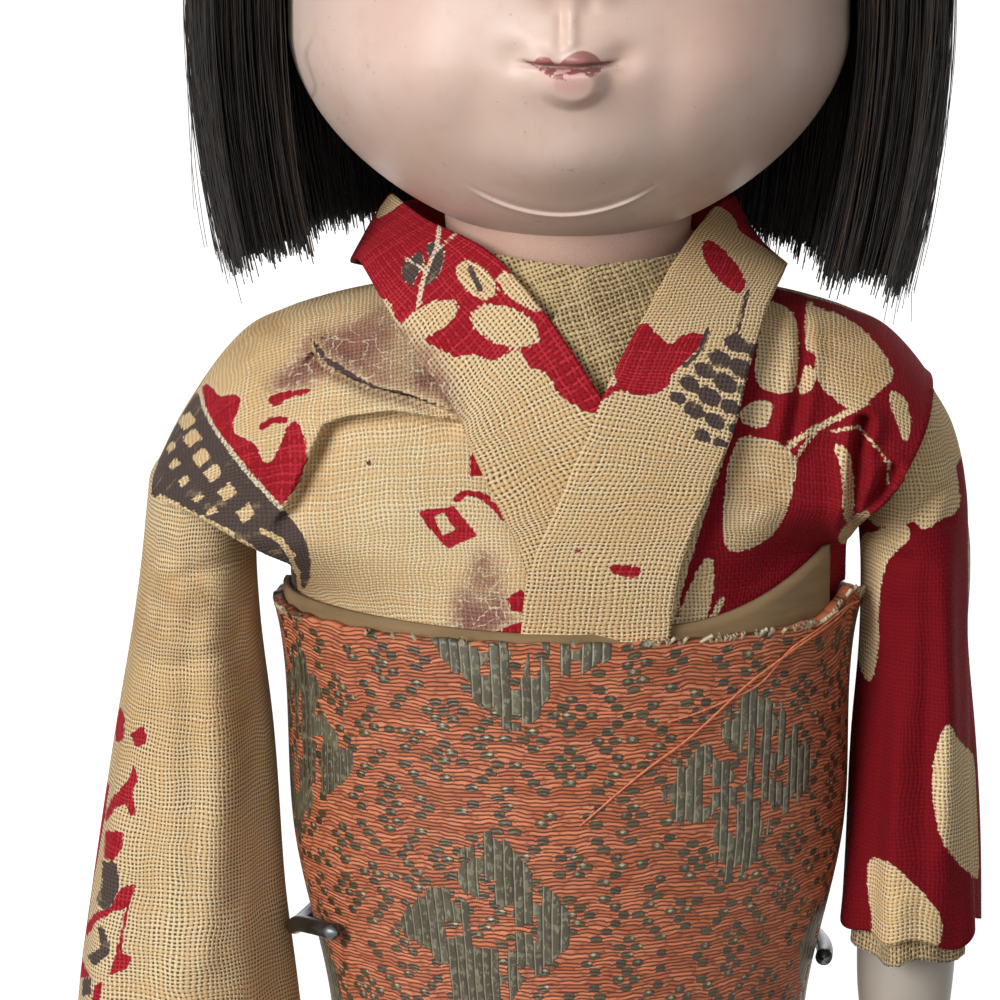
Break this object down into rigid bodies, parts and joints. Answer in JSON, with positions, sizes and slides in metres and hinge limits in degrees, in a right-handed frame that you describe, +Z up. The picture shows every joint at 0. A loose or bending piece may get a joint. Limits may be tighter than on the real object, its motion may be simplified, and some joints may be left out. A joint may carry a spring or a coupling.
{
  "type": "ichimatsu doll",
  "caption": "Standing traditional girl doll in a wrapped kimono and brocade obi, with black bobbed hair, turning head, swinging arms, folding legs and a belly squeaker.",
  "frame": {"origin": "on the floor under the soles, in the middle of the box round the whole doll", "axes": "+Z up through the head, -Y the way the face looks, +X to the viewer's right"},
  "size_m": [0.109, 0.0796, 0.3998],
  "materials": {
    "shell_white": "pressed wood paste under a satin shell-white coat with a pink cast, worn and stained",
    "wood_paste": "bare pressed wood paste and thin board",
    "hair": "straight black hair, satin",
    "eye_glass": "dark polished glass",
    "limb_cloth": "plain cotton, stuffed",
    "gauze": "open beige gauze",
    "kimono_cloth": "open plain-weave cotton printed in crimson, tan and slate",
    "obi_brocade": "salmon silk brocade with tarnished metallic flecks",
    "board": "plain tan cardboard",
    "spring_steel": "dull spring steel wire",
    "washi": "fibrous paper",
    "leather": "old thin leather"
  },
  "bodies": {
    "torso": {"chest_front": "wood_paste", "chest_back": "wood_paste", "neck_ring": "leather", "hip_block": "wood_paste", "squeaker_back_board": "wood_paste", "squeaker_bellows": "washi", "squeaker_spring": "spring_steel", "squeaker_reed": "wood_paste", "kimono_bodice": "kimono_cloth", "kimono_collar_left": "kimono_cloth", "kimono_collar_right": "kimono_cloth", "kimono_collar_back": "kimono_cloth", "under_collar_left": "gauze", "under_collar_right": "gauze", "kimono_skirt": "kimono_cloth", "waist_tie": "limb_cloth", "obi_board": "board", "obi_band": "obi_brocade", "obi_knot": "obi_brocade", "obi_loop_left": "obi_brocade", "obi_loop_right": "obi_brocade", "obi_tail_left": "obi_brocade", "obi_tail_right": "obi_brocade", "waist_clip": "spring_steel"},
    "head": {"head_front": "shell_white", "head_back": "shell_white", "eye_left": "eye_glass", "eye_right": "eye_glass", "neck": "shell_white", "hair_crown": "hair", "hair_fringe": "hair", "hair_curtain": "hair"},
    "left_arm": {"upper_arm_left": "limb_cloth", "elbow_band_left": "washi", "forearm_left": "shell_white", "under_sleeve_left": "gauze", "kimono_sleeve_left": "kimono_cloth"},
    "right_arm": {"upper_arm_right": "limb_cloth", "elbow_band_right": "washi", "forearm_right": "shell_white", "under_sleeve_right": "gauze", "kimono_sleeve_right": "kimono_cloth"},
    "left_leg": {"thigh_left": "limb_cloth", "knee_band_left": "washi", "shin_left": "shell_white"},
    "right_leg": {"thigh_right": "limb_cloth", "knee_band_right": "washi", "shin_right": "shell_white"},
    "squeaker": {"squeaker_front_board": "wood_paste"}
  },
  "joints": [
    {"name": "head_turn", "type": "hinge", "parent": "torso", "child": "head", "pos_m": [0.0047, -0.00117, 0.303], "axis": [0, 0, 1], "range_deg": [-50, 50]},
    {"name": "left_arm_swing", "type": "hinge", "parent": "torso", "child": "left_arm", "pos_m": [-0.038, -0.00317, 0.281], "axis": [-1, 0, 0], "range_deg": [-25, 85]},
    {"name": "right_arm_swing", "type": "hinge", "parent": "torso", "child": "right_arm", "pos_m": [0.0474, -0.00317, 0.281], "axis": [-1, 0, 0], "range_deg": [-25, 85]},
    {"name": "left_leg_fold", "type": "hinge", "parent": "torso", "child": "left_leg", "pos_m": [-0.0098, -0.00317, 0.158], "axis": [-1, 0, 0], "range_deg": [0, 85], "deforming": ["kimono_skirt", "thigh_left"]},
    {"name": "right_leg_fold", "type": "hinge", "parent": "torso", "child": "right_leg", "pos_m": [0.0192, -0.00317, 0.158], "axis": [-1, 0, 0], "range_deg": [0, 85], "deforming": ["kimono_skirt", "thigh_right"]},
    {"name": "squeaker_press", "type": "slide", "parent": "torso", "child": "squeaker", "axis": [0, 1, 0], "range_m": [0, 0.004], "stiffness_N_per_m": 40, "springref_m": -0.001, "deforming": ["squeaker_bellows", "squeaker_spring"]}
  ],
  "couplings": [
    {"joint": "right_leg_fold", "follows": "left_leg_fold", "ratio": 1}
  ]
}
